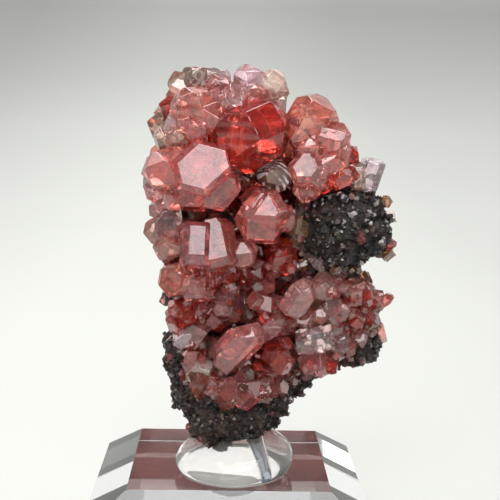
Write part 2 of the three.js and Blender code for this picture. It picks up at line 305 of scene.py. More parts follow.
# Darkest to lightest grains of the two kinds of ore, and where each begins in the grain noise.
ORE_BLACK = ((0.003, 0.003, 0.004), (0.010, 0.009, 0.009), (0.05, 0.043, 0.040))
ORE_BROWN = ((0.006, 0.003, 0.002), (0.028, 0.012, 0.007), (0.12, 0.06, 0.036))
ORE_STOPS = (0.35, 0.55, 0.78)


def rock_material():
    """Granular black ore with brown patches, and brown all over its foot."""
    shader = Shader("manganese_rock")
    grain = shader.noise(1100, detail=8, rough=0.65)
    patches = shader.noise(160, detail=5, rough=0.6, distortion=0.6)
    black = shader.ramp(grain, *zip(ORE_STOPS, ORE_BLACK))
    brown = shader.ramp(grain, *zip(ORE_STOPS, ORE_BROWN))
    foot = shader.ramp(shader.math("MULTIPLY", shader.along("Z"), 20), (0.48, 0.8), (0.62, 0.0))
    where = shader.math("MAXIMUM", shader.ramp(patches, (0.47, 0.0), (0.60, 1.0)), foot)
    shader.link(shader.mix(where, black, brown), "Base Color")
    shader.link(shader.ramp(shader.noise(900, detail=4), (0.35, 0.28), (0.65, 0.75)), "Roughness")
    shader.set(Specular_IOR_Level=0.45)
    shader.bump(grain, 0.7, 0.0004)
    shader.bump(shader.cells(900), 0.4, 0.0003)
    return shader.material


def grain_material():
    """One loose grain's own tone, mottled, with some glossy faces."""
    shader = Shader("ore_grain")
    tone = shader.attribute("tone")
    mottle = shader.ramp(shader.noise(2400, detail=4), (0.3, 0.5), (0.7, 1.0))
    shader.link(shader.mix(1.0, tone, mottle, "MULTIPLY"), "Base Color")
    shader.link(shader.ramp(shader.noise(2000), (0.3, 0.10), (0.7, 0.45)), "Roughness")
    shader.set(Specular_IOR_Level=0.7)
    shader.bump(shader.noise(3000), 0.3, 0.0001)
    return shader.material


def clear_material(name, ior, rough, depth_colour, depth, ripple, clear=1.0, toned=False):
    """Something see-through with a faint haze, and ripples of this scale on its surface."""
    shader = Shader(name)
    shader.set(Transmission_Weight=clear, IOR=ior)
    haze = shader.noise(60, detail=2)
    colour = shader.ramp(haze, (0.3, (0.95, 0.95, 0.94)), (0.7, (0.99, 0.985, 0.97)))
    if toned:
        colour = shader.mix(1.0, colour, shader.attribute("tone"), "MULTIPLY")
    shader.link(colour, "Base Color")
    smears = shader.noise(300, detail=3)
    shader.link(shader.ramp(smears, (0.4, rough), (0.8, rough * 3)), "Roughness")
    shader.bump(shader.noise(ripple, detail=1), 0.04, 0.0004)
    shader.absorb(depth_colour, depth)
    return shader.material


# ---- Crystals ----------------------------------------------------------------------------------

AXIAL_RATIO = 3.28  # c/a of the mineral's main rhombohedron cell
FACE_JITTER = 0.14  # how unevenly the faces of one crystal have grown
EDGE_WEAR = 0.05  # bevel on each crystal edge
ORDER_AXIS = Vector((0.62, 0.35, 0.70))  # a slanting direction that no two corners share a place along


def face_normal(tilt, azimuth):
    """A unit normal at this angle from the c axis, which is +Z."""
    flat = math.sin(tilt)
    return Vector((flat * math.cos(azimuth), flat * math.sin(azimuth), math.cos(tilt)))


def rhombohedron(order, turn):
    """The six face normals of a rhombohedron, steeper for a lower order."""
    tilt = math.atan(2 / math.sqrt(3) * AXIAL_RATIO / order)
    faces = []
    for i in range(3):
        azimuth = turn + i * 2 * math.pi / 3
        faces += [face_normal(tilt, azimuth), face_normal(math.pi - tilt, azimuth + math.pi / 3)]
    return faces


END_FACES = [Vector((0, 0, 1)), Vector((0, 0, -1))]
PRISM = [face_normal(math.pi / 2, i * math.pi / 3) for i in range(6)]
MAIN_RHOMB = rhombohedron(4, 0)
STEEP_RHOMB = rhombohedron(2, math.pi / 3)
HABITS = {
    "capped": ((END_FACES, 0.62), (MAIN_RHOMB, 1.0), (STEEP_RHOMB, 0.95), (PRISM, 1.0)),
    "block": ((END_FACES, 1.1), (MAIN_RHOMB, 0.9), (PRISM, 1.05)),
    "round": ((END_FACES, 0.96), (MAIN_RHOMB, 0.94), (STEEP_RHOMB, 0.96), (PRISM, 0.98)),
    "column": ((END_FACES, 1.0), (MAIN_RHOMB, 1.05), (STEEP_RHOMB, 0.95), (PRISM, 0.62)),
    "stout": ((END_FACES, 0.95), (MAIN_RHOMB, 1.0), (STEEP_RHOMB, 0.93), (PRISM, 0.92)),
    "rhomb": ((END_FACES, 1.3), (MAIN_RHOMB, 0.85)),
}


def convex_body(normals, distances, merge=0.02):
    """A closed bmesh of the convex body inside all the planes."""
    normals = np.array([tuple(n) for n in normals])
    distances = np.array(distances)
    count = len(normals)
    i, j, k = np.array([(a, b, c) for a in range(count) for b in range(a) for c in range(b)]).T
    rows = np.stack([normals[i], normals[j], normals[k]], 1)
    solvable = np.abs(np.linalg.det(rows)) > 1e-4
    sides = np.stack([distances[i], distances[j], distances[k]], 1)[solvable]
    points = np.linalg.solve(rows[solvable], sides[..., None])[..., 0]
    heights = points @ normals.T - distances
    kept = (heights < 1e-6).all(1)
    points, on_face = points[kept], heights[kept] > -1e-5
    corners, faces_of = [], []
    for point, faces in zip(points, on_face):
        near = next((n for n, c in enumerate(corners) if np.linalg.norm(c - point) < merge), None)
        if near is None:
            corners.append(point)
            faces_of.append(faces.copy())
        else:
            faces_of[near] |= faces
    bm = bmesh.new()
    verts = [bm.verts.new(c) for c in corners]
    faces_of = np.array(faces_of)
    for face, direction in enumerate(normals):
        ring = np.flatnonzero(faces_of[:, face])
        if len(ring) < 3:
            continue
        across = np.cross(direction, (1, 0, 0) if abs(direction[0]) < 0.8 else (0, 1, 0))
        across /= np.linalg.norm(across)
        up = np.cross(direction, across)
        spread = np.array([corners[n] for n in ring])
        spread = spread - spread.mean(0)
        order = ring[np.argsort(np.arctan2(spread @ up, spread @ across))]
        bm.faces.new([verts[n] for n in order])
    return bm


def in_fixed_order(bm):
    """The same body with its corners and faces in order by place, since a bevel lists them in any order."""
    corners = sorted(bm.verts, key=lambda v: v.co.dot(ORDER_AXIS))
    number = {v: n for n, v in enumerate(corners)}
    rings = []
    for face in bm.faces:
        ring = [number[v] for v in face.verts]
        first = ring.index(min(ring))
        rings.append(ring[first:] + ring[:first])
    made = bmesh.new()
    verts = [made.verts.new(v.co) for v in corners]
    for ring in sorted(rings):
        made.faces.new([verts[n] for n in ring])
    bm.free()
    return made


def worn(bm, width):
    """The body with a fine bevel on its edges, or as it was if the bevel wouldn't close."""
    made = bm.copy()
    edges = made.edges[:]
    bmesh.ops.bevel(made, geom=edges, offset=width, segments=1, affect="EDGES", clamp_overlap=True)
    bmesh.ops.remove_doubles(made, verts=made.verts[:], dist=1e-4)
    if all(e.is_manifold for e in made.edges) and len(made.faces) > len(bm.faces):
        bm.free()
        return in_fixed_order(made)
    made.free()
    return bm


def random_direction(rng):
    z = rng.uniform(-1, 1)
    angle = rng.uniform(0, 2 * math.pi)
    flat = math.sqrt(1 - z * z)
    return Vector((flat * math.cos(angle), flat * math.sin(angle), z))


def crystal_turn(axis, spin):
    """Turns the c axis from +Z to this axis, and the crystal about it."""
    turn = Vector((0, 0, 1)).rotation_difference(Vector(axis).normalized())
    return turn @ Quaternion((0, 0, 1), math.radians(spin))


def crystal(habit, size, at, axis, spin, long, tone, steps, rng, look=CRYSTAL):
    """The closed solids of one crystal: its main body and the steps grown on it side by side."""
    normals, shares = [], []
    for form, share in HABITS[habit]:
        normals += form
        shares += [share] * len(form)
    seed = at[0] * 3.1 + at[1] * 5.3 + at[2] * 7.7
    distances = []
    for i, (direction, share) in enumerate(zip(normals, shares)):
        uneven = 1 + FACE_JITTER * (scatter_value(seed + i) - 0.5) * 2
        distances.append(size * share * uneven * (1 + (long - 1) * abs(direction.z)))
    place = Matrix.Translation(at) @ crystal_turn(axis, spin).to_matrix().to_4x4()
    bodies = []
    growths = steps * (3 if size > 2.4 else 2)
    for step in range(growths + 1):
        sides = distances
        shift = Matrix.Identity(4)
        if step:
            share = rng.uniform(0.42, 0.8)
            sides = [d * share * rng.uniform(0.85, 1.12) for d in distances]
            lean = Quaternion(random_direction(rng), math.radians(rng.uniform(0, 9))).to_matrix()
            reach = random_direction(rng) * size * (1.0 - share) * rng.uniform(0.8, 1.05)
            shift = Matrix.Translation(reach) @ lean.to_4x4()
        body = convex_body(normals, sides, 0.02 * size)
        body = worn(body, min(EDGE_WEAR, 0.03 * size))
        bmesh.ops.triangulate(body, faces=body.faces[:])
        bmesh.ops.recalc_face_normals(body, faces=body.faces[:])
        body.transform(place @ shift)
        made = mesh_object("crystal", body)
        made.data.materials.append(look)
        shade = rng.uniform(0.8, 1.15)
        paint(made, [min(1.0, c * shade * rng.uniform(0.92, 1.08)) for c in TONES[tone]])
        bodies.append(made)
    return bodies


PARTING = 0.03  # how far a parted cleavage plane stands open
PARTINGS_PER_MM = 1.4  # for each millimetre of the crystal's size
LEAST_PARTED = 1.45  # smaller crystals are sound
RIM_CORNERS = 7  # of the gap's uneven outline


def parted(piece, rows):
    """The crystals with thin closed gaps inside, where they have parted along their cleavage."""
    rng = random.Random(piece.name)
    look = piece.data.materials[0]
    gaps = []
    for _, size, at, axis, spin, long, tone, _ in rows:
        count = round(size * long * PARTINGS_PER_MM) if size > LEAST_PARTED else 0
        for _ in range(count):
            across = crystal_turn(axis, spin) @ rng.choice(MAIN_RHOMB)
            u = across.orthogonal().normalized()
            v = across.cross(u)
            angles = [2 * math.pi * (k + rng.uniform(-0.3, 0.3)) / RIM_CORNERS for k in range(RIM_CORNERS)]
            rim = [u * math.cos(a) + v * math.sin(a) for a in angles]
            reach = size * rng.uniform(0.25, 0.55)
            sides = [PARTING / 2] * 2 + [reach * rng.uniform(0.6, 1.0) for _ in rim]
            body = convex_body([across, -across, *rim], sides, 0.1 * PARTING)
            bmesh.ops.triangulate(body, faces=body.faces[:])
            bmesh.ops.recalc_face_normals(body, faces=body.faces[:])
            centre = Vector(at) + random_direction(rng) * size * rng.uniform(0.2, 0.75)
            body.transform(Matrix.Translation(centre))
            gap = mesh_object("parting", body)
            gap.data.materials.append(look)
            paint(gap, TONES[tone])
            gaps.append(gap)
    return combined(piece, gaps, piece.name, "DIFFERENCE") if gaps else piece


# ---- Crystal layout ----------------------------------------------------------------------------

# habit, size, place, axis, spin, long, tone, steps
CLUSTERS = {
    "upper_left_crystals": [
        ("capped", 3.0, (-3.4, -7.1, 47.3), (-0.06, -0.93, 0.36), 12, 1.0, "rose", 0),
        ("round", 2.4, (-1.9, -5.9, 45.3), (0.5, -0.8, -0.1), 50, 1, "salmon", 3),
        ("round", 2.0, (-4.6, -6.0, 44.7), (-0.2, -0.8, -0.4), 15, 1, "red", 2),
        ("round", 2.4, (-7.4, -5.6, 46.9), (-0.45, -0.75, 0.45), 25, 1, "salmon", 3),
        ("stout", 3.85, (1.3, -4.8, 51.4), (0.76, -0.38, 0.53), 5, 1.1, "red", 4),
        ("round", 2.4, (-4.7, -4.9, 53.8), (-0.25, -0.75, 0.60), 40, 1, "salmon", 3),
        ("column", 1.7, (-7.1, -3.2, 53.2), (-0.3, -0.5, 0.8), 15, 1, "red", 2),
        ("round", 1.7, (-2.6, -5.4, 52.9), (0.15, -0.8, 0.5), 5, 1, "salmon", 2),
        ("block", 1.3, (-4.4, -6.0, 51.6), (-0.1, -0.8, 0.5), 50, 1, "mauve", 2),
        ("round", 1.3, (-6.2, -5.8, 51.0), (-0.3, -0.8, 0.4), 20, 1, "pink", 2),
        ("block", 1.0, (-6.9, -5.2, 52.1), (-0.4, -0.6, 0.6), 35, 1, "pale", 1),
        ("block", 1.0, (-5.4, -6.2, 52.3), (0.2, -0.8, 0.3), 10, 1, "salmon", 1),
        ("column", 2.2, (-1.0, -4.6, 54.4), (0.6, -0.45, 0.5), 20, 1, "pink", 2),
        ("block", 1.3, (-8.5, -2.6, 51.8), (-0.8, -0.4, 0.3), 60, 1, "smoky", 1),
        ("round", 1.35, (-7.6, -4.4, 50.5), (-0.5, -0.7, 0.5), 10, 1, "smoky", 2),
        ("block", 1.2, (-6.3, -1.4, 56.7), (-0.4, -0.3, 0.8), 30, 1, "smoky", 1),
        ("block", 1.5, (-4.4, -1.6, 57.0), (-0.1, -0.5, 0.8), 75, 1, "smoky", 2),
        ("round", 1.5, (-2.8, -1.4, 57.0), (0.2, -0.4, 0.9), 20, 1, "smoky", 2),
        ("block", 1.3, (-6.2, -2.6, 55.6), (-0.5, -0.6, 0.5), 5, 1, "mauve", 1),
        ("capped", 1.8, (-1.8, -2.8, 55.9), (0.25, 0.55, 0.75), 30, 1, "mauve", 3),
        ("block", 0.8, (-1.4, -2.2, 57.3), (0, -0.5, 0.8), 0, 1, "pale", 1),
        ("round", 1.9, (1.5, -1.4, 57.0), (0.05, -0.45, 0.88), 45, 1, "pale", 2),
        ("round", 1.7, (4.1, -2.2, 56.4), (0.45, -0.35, 0.8), 15, 1, "pale", 2),
        ("block", 1.5, (0.2, -3.4, 55.3), (0.3, -0.7, 0.5), 55, 1, "pink", 2),
        ("block", 1.1, (2.4, -3.4, 55.6), (-0.3, -0.6, 0.7), 25, 1, "salmon", 1),
        ("block", 1.1, (-2.4, -4.4, 54.9), (-0.1, -0.7, 0.7), 10, 1, "pink", 1),
        ("round", 1.5, (-8.6, -4.4, 44.6), (-0.6, -0.7, -0.1), 35, 1, "pink", 2),
        ("block", 1.2, (-6.6, -5.5, 44.2), (-0.2, -0.9, -0.2), 65, 1, "salmon", 1),
        ("block", 1.0, (-9.2, -4.2, 45.9), (-0.7, -0.6, 0.2), 20, 1, "pale", 1),
        ("block", 3.0, (-2.5, 1.9, 53.8), (-0.2, 0.7, 0.6), 10, 1, "pink", 2),
        ("block", 2.7, (2.6, 1.8, 54.4), (0.4, 0.6, 0.6), 30, 1, "pale", 2),
        ("block", 2.3, (-6.2, 1.4, 53.2), (-0.6, 0.5, 0.5), 20, 1, "salmon", 2),
        ("block", 2.2, (-7.2, -1, 48.6), (-0.9, -0.1, 0.2), 20, 1, "salmon", 2),
        ("block", 1.6, (4.4, 2.0, 50.9), (0.2, 0.6, 0.8), 20, 1, "red", 2),
        ("block", 2.2, (-3.4, -2.2, 50.2), (-0.2, -0.7, 0.6), 50, 1, "red", 2),
    ],
    "upper_right_crystals": [
        ("stout", 2.8, (8.3, -3.0, 52.3), (0.42, -0.42, 0.80), 30, 1.1, "salmon", 3),
        ("column", 2.9, (10.6, -4.0, 49.6), (0.10, -0.40, 0.90), 12, 1, "salmon", 3),
        ("round", 1.2, (12.9, -2.6, 48.8), (0.6, -0.4, 0.6), 20, 1, "red", 1),
        ("round", 2.1, (8.3, -5.6, 47.3), (-0.2, -0.88, 0.38), 15, 1, "mauve", 3),
        ("block", 1.3, (10.4, -5.6, 48.1), (0.3, -0.8, 0.4), 40, 1, "salmon", 2),
        ("block", 1.4, (11.3, -4.8, 46.9), (0.3, -0.8, 0.2), 70, 1, "red", 2),
        ("block", 1.2, (8.3, -5.0, 49.6), (-0.2, -0.7, 0.6), 30, 1, "mauve", 1),
        ("column", 2.6, (6.8, -1.0, 49.4), (0.12, -0.3, 0.94), 5, 1, "brown", 2),
        ("block", 1.2, (7.9, -5.2, 45.2), (0.3, -0.8, -0.2), 65, 1, "salmon", 1),
        ("block", 1.0, (9.8, -5.0, 45.9), (0.1, -0.8, 0.1), 15, 1, "red", 1),
        ("block", 2.4, (9.0, 0.8, 50.2), (0.5, 0.7, 0.5), 25, 1, "salmon", 2),
        ("column", 1.9, (15.3, -1.6, 46.6), (0.25, -0.2, 0.9), 10, 1, "clear", 1),
        ("column", 1.5, (13.9, -2.6, 46.6), (-0.1, -0.4, 0.9), 30, 1, "smoky", 1),
        ("block", 1.2, (12.7, -3.0, 47.0), (0.1, -0.6, 0.7), 10, 1, "red", 1),
        ("block", 1.8, (11.8, -0.6, 47.6), (0.2, 0.3, 0.9), 45, 1, "salmon", 1),
    ],
    "striped_crystal": [
        ("block", 1.7, (4.5, -3.9, 46.5), (0.25, -0.6, 0.75), 35, 1, "smoky", 4),
    ],
    "centre_crystal": [
        ("round", 2.8, (3.3, -6.4, 42.3), (-0.04, -0.93, 0.34), 25, 1, "rose", 3),
        ("block", 1.3, (5.6, -4.6, 42.0), (0.6, -0.6, 0.3), 45, 1, "salmon", 1),
        ("block", 1.5, (2.2, -4.6, 44.1), (-0.2, -0.6, 0.7), 10, 1, "red", 1),
    ],
    "blade_crystals": [
        ("column", 2.7, (-4.1, -6.3, 38.9), (0.03, 0.32, 0.95), 30, 1, "mauve", 0),
        ("column", 2.9, (-1.8, -5.7, 39.0), (-0.22, 0.34, 0.92), 24, 1, "rose", 1),
        ("round", 1.55, (1.1, -5.6, 38.0), (-0.1, -0.93, 0.34), 33, 1, "mauve", 2),
        ("capped", 1.9, (-3.1, -4.6, 35.0), (0.1, -0.8, 0.1), 5, 1, "red", 2),
        ("block", 1.5, (-0.6, -4.2, 36.0), (0.3, -0.8, 0.1), 25, 1, "red", 2),
        ("capped", 2.0, (-6.1, -4.6, 34.9), (-0.5, -0.8, 0.1), 20, 1, "salmon", 3),
        ("block", 1.6, (-4.0, -5.0, 33.9), (0.1, -0.8, -0.3), 40, 1, "salmon", 2),
    ],
    "left_edge_crystals": [
        ("column", 1.9, (-7.2, -4.2, 40.8), (0.05, 0.1, 1), 20, 1, "clear", 2),
        ("block", 1.2, (-8.2, -2.8, 42.6), (-0.8, -0.3, 0.3), 15, 1, "pink", 1),
        ("round", 1.3, (-8.7, -3.2, 40.1), (-0.8, -0.5, 0.3), 10, 1, "pink", 1),
        ("block", 1.3, (-6.8, -4.6, 38.8), (-0.3, -0.8, 0.3), 25, 1, "salmon", 2),
        ("round", 1.3, (-7.7, -3.4, 38.0), (-0.6, -0.6, -0.1), 50, 1, "pink", 2),
    ],
    "lower_left_crystals": [
        ("block", 1.5, (-5.2, -4.0, 31.0), (-0.4, -0.8, 0.1), 45, 1, "red", 3),
        ("round", 1.8, (-0.6, -3.6, 32.0), (0.2, -0.9, 0.3), 5, 1, "mauve", 2),
        ("block", 1.4, (-2.6, -4.0, 31.0), (0.1, -0.9, 0.2), 25, 1, "red", 2),
        ("rhomb", 1.5, (-3.9, -4.6, 29.2), (-0.5, -0.5, 0.6), 5, 1, "mauve", 2),
        ("block", 1.3, (-5.2, -4.4, 28.2), (-0.5, -0.7, 0.3), 35, 1, "pale", 2),
        ("block", 1.4, (-4.0, -4.7, 26.4), (0.2, -0.8, 0.3), 35, 1, "red", 2),
        ("block", 1.5, (-3.4, -5.2, 24.5), (-0.3, -0.8, 0.4), 35, 1, "pale", 1),
        ("round", 1.5, (-2.0, -5.8, 22.8), (0.1, -0.9, 0.4), 15, 1, "mauve", 2),
    ],
    "lower_red_crystal": [
        ("round", 1.9, (0.7, -6.6, 27.6), (0.60, -0.40, 0.74), 85, 1.9, "salmon", 3),
    ],
    "hollow_crystals": [
        ("block", 1.9, (2.6, -2.2, 35.2), (0.2, -0.9, 0.1), 10, 1, "red", 2),
        ("block", 1.9, (5.6, -3.0, 37.4), (0.4, -0.8, 0.2), 30, 1, "red", 2),
        ("round", 1.8, (3.3, -2.8, 32.2), (-0.2, -0.9, 0.2), 20, 1, "red", 2),
        ("block", 1.7, (4.9, -3.8, 29.9), (0.3, -0.8, 0.4), 50, 1, "mauve", 2),
        ("block", 1.8, (5.0, -4.2, 26.4), (0.2, -0.9, 0.2), 0, 1, "red", 2),
        ("block", 1.8, (3.2, -4.6, 24.0), (0, -0.9, 0.2), 70, 1, "red", 2),
    ],
    "right_wing_crystals": [
        ("stout", 1.7, (7.4, -5.4, 33.2), (0.45, -0.25, 0.86), 100, 1.4, "pink", 3),
        ("column", 2.2, (9.5, -5.4, 28.3), (0.95, -0.25, 0.20), 30, 1, "clear", 2),
        ("block", 1.5, (11.5, -4.6, 31.6), (0.3, -0.8, 0.3), 65, 1, "pink", 4),
        ("block", 1.6, (9.4, -4.2, 25.8), (0.2, -0.9, -0.2), 45, 1, "mauve", 2),
        ("round", 1.5, (12.2, -3.6, 27.4), (0.4, -0.8, 0.1), 25, 1, "pink", 2),
        ("block", 1.5, (14.0, -3.0, 30.4), (0.6, -0.7, 0.2), 5, 1, "salmon", 2),
        ("block", 1.5, (13.4, -3.6, 33.6), (0.5, -0.7, 0.3), 15, 1, "salmon", 2),
        ("block", 1.5, (10.2, -4.2, 34.2), (0.1, -0.8, 0.4), 30, 1, "pink", 2),
        ("block", 1.4, (8.6, -4.8, 30.8), (0.1, -0.8, 0.4), 70, 1, "salmon", 2),
        ("column", 1.6, (15.9, -1.8, 32.4), (0.95, 0.05, 0.0), 30, 1, "salmon", 1),
    ],
}


CLEAR_TONES = ("clear",)
PALE_TONES = ("pale",)
SPRINKLED = ("lower_left_crystals", "hollow_crystals", "right_wing_crystals")  # small ones grow on these


def red_rows(rows):
    """The crystals that keep the red look; clear and pale ones are pieces of their own."""
    return [row for row in rows if row[6] not in CLEAR_TONES + PALE_TONES]


def build_cluster(name, rows):
    """The red crystals of one group, grown together."""
    rng = random.Random(name)
    look = striped_material() if name == "striped_crystal" else CRYSTAL
    parts = []
    for row in red_rows(rows):
        parts += crystal(*row, rng, look)
    return united(name.replace("_crystal", "_cluster"), parts)


def build_toned(name, tones, look):
    """The crystals of these tones in every cluster, which have a look of their own."""
    rng = random.Random(name)
    rows = [row for cluster in CLUSTERS.values() for row in cluster if row[6] in tones]
    parts = [body for row in rows for body in crystal(*row, rng, look)]
    return finish_piece(parted(united(name, parts), rows))


# ---- Rock --------------------------------------------------------------------------------------

# Centre and radii of each lump of the plate of rock; the first three stand in the gel.
ROCK_LUMPS = [
    ((0.1, -2.2, 21.4), (6.7, 6.0, 5.0)),
    ((-1.4, -5.0, 18.6), (3.4, 2.9, 2.8)),
    ((2.1, -4.6, 19.2), (2.9, 2.9, 2.6)),
    ((-4.4, -2.0, 25.2), (2.6, 3.0, 3.8)),
    ((15.2, -0.8, 26.8), (1.7, 2.0, 1.5)),
    ((-1.4, 1.8, 30), (6.2, 4.6, 11)),
    ((-2.0, 1.4, 40.2), (6.0, 4.8, 8.8)),
    ((12.0, -1, 40.6), (6.1, 5.6, 4.9)),
    ((10.5, 0.8, 30.5), (6.4, 4.4, 7)),
    ((5.4, 1.2, 25), (5, 4.2, 5.2)),
    ((6.0, 2.6, 41.5), (5.6, 3.4, 7.6)),
]
BOX_NORMALS = ((1, 0, 0), (-1, 0, 0), (0, 1, 0), (0, -1, 0), (0, 0, 1), (0, 0, -1))
ROCK_VOXEL = 0.21
CORE_SHARE = 0.9  # the smooth inside of each lump, as a share of its radii
CHUNKS = 640
CHUNK_SHARE = 0.88  # where the chunks sit, as a share of the radii
CHUNK_SIDES = 11


def chunk(at, size, rng):
    """An angular closed lump, as broken ore is."""
    normals = [random_direction(rng) for _ in range(CHUNK_SIDES)]
    normals += [Vector(n) for n in BOX_NORMALS]
    body = convex_body(normals, [size * rng.uniform(0.6, 1.0) for _ in normals], 0.03 * size)
    body.transform(Matrix.Translation(at))
    return body


def build_rock():
    """Lumps crusted with angular chunks, fused into one closed skin and then weathered."""
    rng = random.Random("rock")
    bm = bmesh.new()
    spots = []
    for at, radii in ROCK_LUMPS:
        made = bmesh.ops.create_icosphere(bm, subdivisions=4, radius=CORE_SHARE)
        for vert in made["verts"]:
            vert.co = Vector(at) + Vector(c * r for c, r in zip(vert.co, radii))
        for _ in range(CHUNKS // len(ROCK_LUMPS)):
            way = random_direction(rng)
            spots.append(Vector(at) + Vector(c * r * CHUNK_SHARE for c, r in zip(way, radii)))
    for spot in spots:
        body = chunk(spot, rng.uniform(0.5, 1.5), rng)
        made = bpy.data.meshes.new("chunk")
        body.to_mesh(made)
        body.free()
        bm.from_mesh(made)
        bpy.data.meshes.remove(made)
    rough = mesh_object("rough", bm)
    remesh = rough.modifiers.new("remesh", "REMESH")
    remesh.mode = "VOXEL"
    remesh.voxel_size = ROCK_VOXEL
    rock = baked(rough, "manganese_rock")
    mesh = rock.data
    count = len(mesh.vertices)
    places = np.zeros(count * 3, np.float32)
    mesh.vertices.foreach_get("co", places)
    places = places.reshape(-1, 3)
    normals = np.zeros(count * 3, np.float32)
    mesh.vertex_normals.foreach_get("vector", normals)
    normals = normals.reshape(-1, 3)
    heights = np.empty(count, np.float32)
    for i, place in enumerate(places):
        at = Vector(place)
        broad = noise.noise(at * 0.35)
        middle = noise.noise(at * 1.1 + Vector((9, 2, 5)))
        fine = noise.cell(at * 2.2) + noise.noise(at * 3.4)
        heights[i] = 0.28 * broad + 0.26 * middle + 0.15 * fine
    places += normals * heights[:, None]
    mesh.vertices.foreach_set("co", places.ravel())
    mesh.update()
    mesh.materials.append(rock_material())
    return rock


# ---- Small crystals between the large ones -----------------------------------------------------

def druse_zone(place, normal):
    """How readily small crystals grow here (near 0 on bare rock), their sizes and their tones."""
    x, y, z = place
    bare = 0.03, (0.25, 0.5), ("smoky", "rose")
    knob = math.hypot((x - 12.8) / 5.2, (z - 40.9) / 4.5)
    if z < 21.5 + 0.25 * abs(x - 2) or (x < -5.2 and z < 28.5) or (x > 14 and z < 28):
        return bare
    if knob < 1 and y < 3.5:
        return bare
    if knob < 1.35 and y < 3.5:
        return 0.9, (0.25, 0.65), ("smoky", "amber", "pale", "rose")
    if normal.y > 0.25:
        scattered = 0.5, (0.4, 0.9), ("salmon", "red", "smoky")
        return scattered if noise.noise(place * 0.25) > 0.12 else bare
    if z > 46:
        return 0.7, (0.4, 0.9), ("pink", "salmon", "pale", "salmon")
    if x > 7:
        return 1.0, (0.35, 0.9), ("pink", "salmon", "amber", "pink", "rose", "salmon")
    if z < 33:
        return 1.0, (0.35, 0.9), ("red", "rose", "brown", "rose", "salmon")
    return 1.0, (0.4, 1.0), ("red", "rose", "brown", "red")


def small_crystal(at, normal, sizes, tones, rng):
    """One small crystal standing roughly out from the face it grows on."""
    size = rng.uniform(*sizes)
    place = at + normal * size * rng.uniform(-0.2, 0.5)
    axis = (normal + random_direction(rng) * 0.7).normalized()
    habit = rng.choice(("block", "column", "column", "round", "rhomb"))
    spin, long, tone = rng.uniform(0, 120), rng.uniform(1, 1.6), rng.choice(tones)
    return crystal(habit, size, place, axis, spin, long, tone, 0, rng)


# The two larger crystals on the right that nothing small grows on: centre and radius.
KEPT_BARE = ((Vector((7.5, -5.4, 33.3)), 2.6), (Vector((9.5, -5.4, 28.3)), 2.8))


def takes_overgrowth(face):
    """Whether small crystals grow on this face of a larger one."""
    if face.area > 1.5 or face.normal.y > 0.3:
        return False
    return all((face.center - centre).length > radius for centre, radius in KEPT_BARE)


def build_druse(rock, clusters, on_rock, on_clusters):
    """The small crystals that cover the rock's hollows and the lower groups."""
    rng = random.Random("druse")
    polygons = rock.data.polygons
    parts = []
    while len(parts) < on_rock:
        face = polygons[rng.randrange(len(polygons))]
        zone = druse_zone(face.center, face.normal)
        if rng.random() < zone[0]:
            parts += small_crystal(face.center, face.normal, *zone[1:], rng)
    faces = [f for cluster in clusters for f in cluster.data.polygons if takes_overgrowth(f)]
    areas = [f.area for f in faces]
    grown = []
    tones = ("red", "rose", "rose", "pink")
    for face in rng.choices(faces, areas, k=on_clusters):
        grown += small_crystal(face.center, face.normal, (0.35, 0.75), tones, rng)
    finish_piece(united("fine_druse", parts))
    finish_piece(united("overgrown_druse", grown))


# Grain colours of the ore: mostly black, some brown, a few pale specks.
GRAIN_TONES = (
    (0.007, 0.007, 0.009),
    (0.018, 0.017, 0.018),
    (0.040, 0.024, 0.016),
    (0.12, 0.075, 0.05),
    (0.50, 0.44, 0.42),
)
KNOB_ODDS = (24, 25, 23, 15, 13)  # how often each comes on the knob, and on the foot
FOOT_ODDS = (36, 18, 36, 10, 0)


def build_grains(rock, count):
    """Broken grains standing on the bare rock."""
    rng = random.Random("grains")
    grain_look = grain_material()
    polygons = rock.data.polygons
    parts = []
    while len(parts) < count:
        face = polygons[rng.randrange(len(polygons))]
        if druse_zone(face.center, face.normal)[0] > 0.1:
            continue
        size = rng.uniform(0.10, 0.27)
        turn = Quaternion(random_direction(rng), rng.uniform(0, math.pi)).to_matrix()
        leant = [Vector(n) + random_direction(rng) * 0.35 for n in BOX_NORMALS]
        sides = [turn @ n.normalized() for n in leant]
        body = convex_body(sides, [size * rng.uniform(0.6, 1.0) for _ in sides], 0.03 * size)
        bmesh.ops.triangulate(body, faces=body.faces[:])
        bmesh.ops.recalc_face_normals(body, faces=body.faces[:])
        body.transform(Matrix.Translation(face.center))
        if not body.faces or not all(e.is_manifold for e in body.edges):
            body.free()
            continue
        made = mesh_object("grain", body)
        made.data.materials.append(grain_look)
        odds = KNOB_ODDS if face.center.z > 34 else FOOT_ODDS
        paint(made, rng.choices(GRAIN_TONES, odds)[0])
        parts.append(made)
    return finish_piece(united("ore_grains", parts))


# ---- Stand -------------------------------------------------------------------------------------

def dress_block():
    """Clear acrylic with narrow polished edges."""
    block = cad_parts["acrylic_block"]
    bevel = block.modifiers.new("polished edges", "BEVEL")
    bevel.width = 0.12 * MM
    bevel.segments = 3
    bevel.limit_method = "ANGLE"
    bevel.harden_normals = True
    acrylic = clear_material("clear_acrylic", 1.49, 0.01, (0.90, 0.96, 1.0), 4, 40)
    for slot in block.material_slots:
        slot.link = "OBJECT"
        slot.material = acrylic
    for face in block.data.polygons:
        face.use_smooth = False


FELT_PILE = 0.24  # the pile stands up to the block's underside
FELT_FRAY = 0.16  # how far its cut edge wanders in


